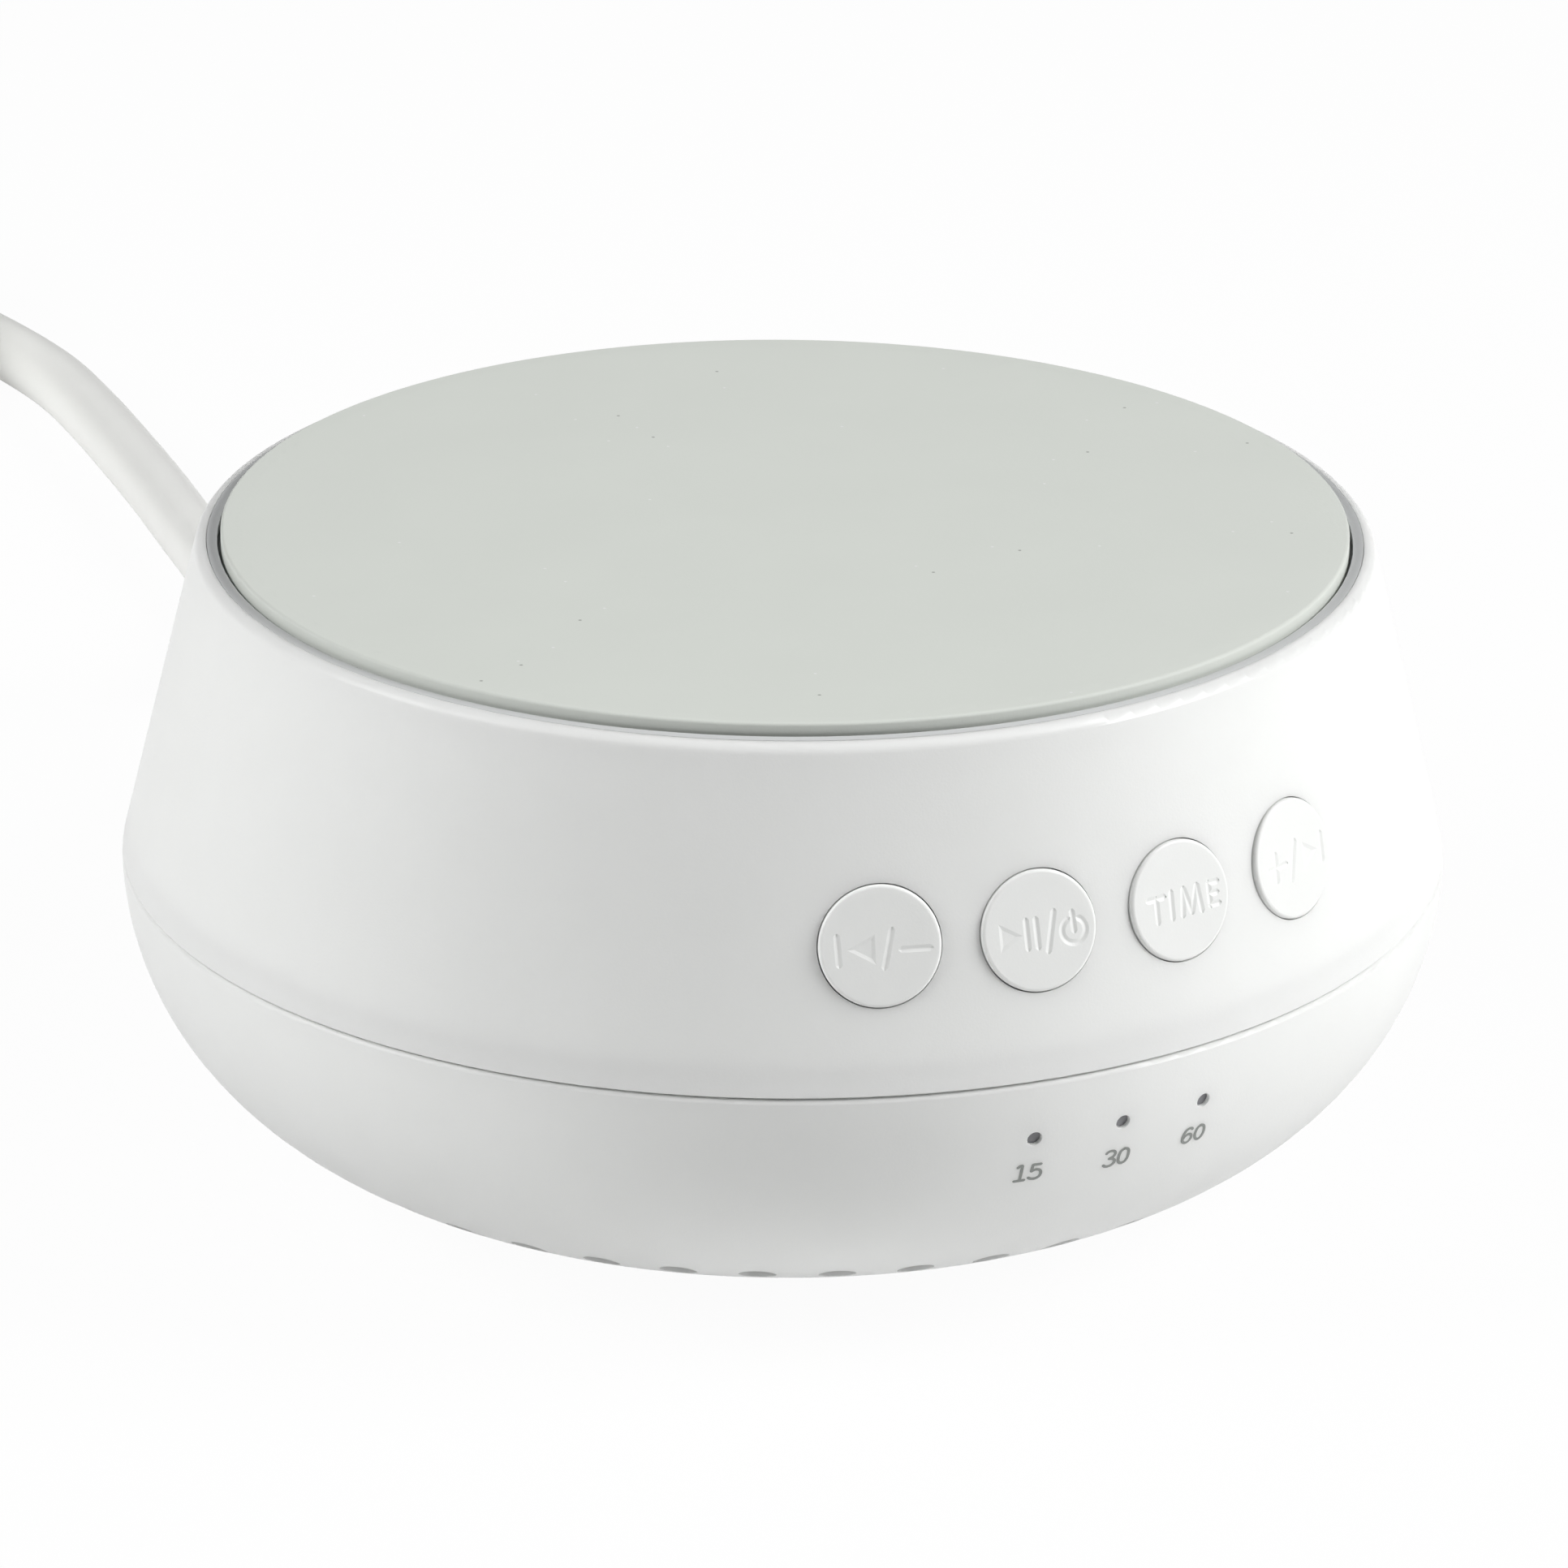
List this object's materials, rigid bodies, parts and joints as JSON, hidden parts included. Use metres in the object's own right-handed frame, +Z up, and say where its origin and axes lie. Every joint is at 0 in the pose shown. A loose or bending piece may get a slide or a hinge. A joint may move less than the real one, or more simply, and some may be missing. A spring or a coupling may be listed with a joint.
{
  "type": "white noise sound machine",
  "caption": "Round plug-in bedside sound machine with a soft top pad, sprung push buttons in a sloping wall, timer lights, low sound holes and a down-firing loudspeaker.",
  "frame": {"origin": "on the floor under the middle of the round case", "axes": "+Z up along the case's axis; the front with the buttons and lights faces -Y; the cord leaves at +Y; +X is to the right of someone who faces the buttons"},
  "size_m": [0.1519, 0.3406, 0.0544],
  "materials": {
    "white_plastic": "satin moulded white",
    "white_caps": "satin moulded white",
    "tray_plastic": "satin cool grey",
    "soft_pad": "matt silicone",
    "smoke_window": "smoky clear moulding",
    "black_plastic": "matt black",
    "switch_steel": "stamped steel",
    "green_board": "solder-masked laminate",
    "led_white": "lamp body",
    "screw_steel": "zinc-plated",
    "basket_steel": "plated pressing",
    "ferrite": "sintered grey-black",
    "soft_black": "matt foam and rubber",
    "paper_cone": "pressed paper",
    "copper_coil": "enamelled copper",
    "spider_cloth": "resin-dipped cloth",
    "terminal_board": "phenolic strip",
    "transformer_tape": "yellow tape",
    "capacitor_sleeve": "shrink sleeve",
    "ivory_nylon": "moulded nylon",
    "foot_rubber": "matt grey rubber",
    "cord_jacket": "soft satin white",
    "tie_plastic": "matt black",
    "plug_brass": "nickel-plated blades",
    "wire_insulation": "wire insulation",
    "ribbon_cable": "flat cable"
  },
  "bodies": {
    "case": {"upper_housing": "white_plastic", "lower_housing": "white_plastic", "top_carrier": "tray_plastic", "top_pad": "soft_pad", "tact_switches": "switch_steel", "key_board": "green_board", "key_bracket": "white_plastic", "bracket_screws": "screw_steel", "timer_light_pipe": "smoke_window", "timer_leds": "led_white", "led_board": "green_board", "speaker_baffle": "white_plastic", "baffle_screws": "screw_steel", "speaker_gasket": "soft_black", "speaker_frame": "basket_steel", "speaker_screws": "screw_steel", "speaker_top_plate": "basket_steel", "speaker_magnet": "ferrite", "speaker_yoke": "basket_steel", "cone_surround": "soft_black", "cone_spider": "spider_cloth", "speaker_terminals": "terminal_board", "main_board": "green_board", "board_screws": "screw_steel", "transformer": "transformer_tape", "capacitors": "capacitor_sleeve", "board_chips": "black_plastic", "board_connectors": "ivory_nylon", "case_screws": "screw_steel", "rubber_feet": "foot_rubber", "strain_relief": "cord_jacket", "cord_inner_end": "cord_jacket", "cord_clamp": "ivory_nylon", "clamp_screws": "screw_steel", "power_cord": "cord_jacket", "cord_coil": "cord_jacket", "cord_tail": "cord_jacket", "cord_tie": "tie_plastic", "plug_body": "cord_jacket", "plug_blades": "plug_brass", "speaker_leads": "wire_insulation", "mains_leads": "wire_insulation", "key_ribbon": "ribbon_cable", "led_ribbon": "ribbon_cable"},
    "previous_key": {"previous_button": "white_caps", "previous_plunger": "black_plastic"},
    "play_power_key": {"play_power_button": "white_caps", "play_power_plunger": "black_plastic"},
    "timer_key": {"timer_button": "white_caps", "timer_plunger": "black_plastic"},
    "next_key": {"next_button": "white_caps", "next_plunger": "black_plastic"},
    "speaker_mover": {"speaker_cone": "paper_cone", "dust_cap": "paper_cone", "voice_coil": "copper_coil"}
  },
  "joints": [
    {"name": "previous_button_press", "type": "slide", "parent": "case", "child": "previous_key", "axis": [0.3489, 0.9054, -0.2419], "range_m": [0, 0.0005], "stiffness_N_per_m": 1500, "springref_m": -0.0002},
    {"name": "play_power_button_press", "type": "slide", "parent": "case", "child": "play_power_key", "axis": [0.1187, 0.963, -0.2419], "range_m": [0, 0.0005], "stiffness_N_per_m": 1500, "springref_m": -0.0002},
    {"name": "timer_button_press", "type": "slide", "parent": "case", "child": "timer_key", "axis": [-0.1187, 0.963, -0.2419], "range_m": [0, 0.0005], "stiffness_N_per_m": 1500, "springref_m": -0.0002},
    {"name": "next_button_press", "type": "slide", "parent": "case", "child": "next_key", "axis": [-0.3489, 0.9054, -0.2419], "range_m": [0, 0.0005], "stiffness_N_per_m": 1500, "springref_m": -0.0002},
    {"name": "cone_stroke", "type": "slide", "parent": "case", "child": "speaker_mover", "axis": [0, 0, 1], "range_m": [-0.001, 0.001], "stiffness_N_per_m": 1500, "deforming": ["cone_surround", "cone_spider"]}
  ]
}
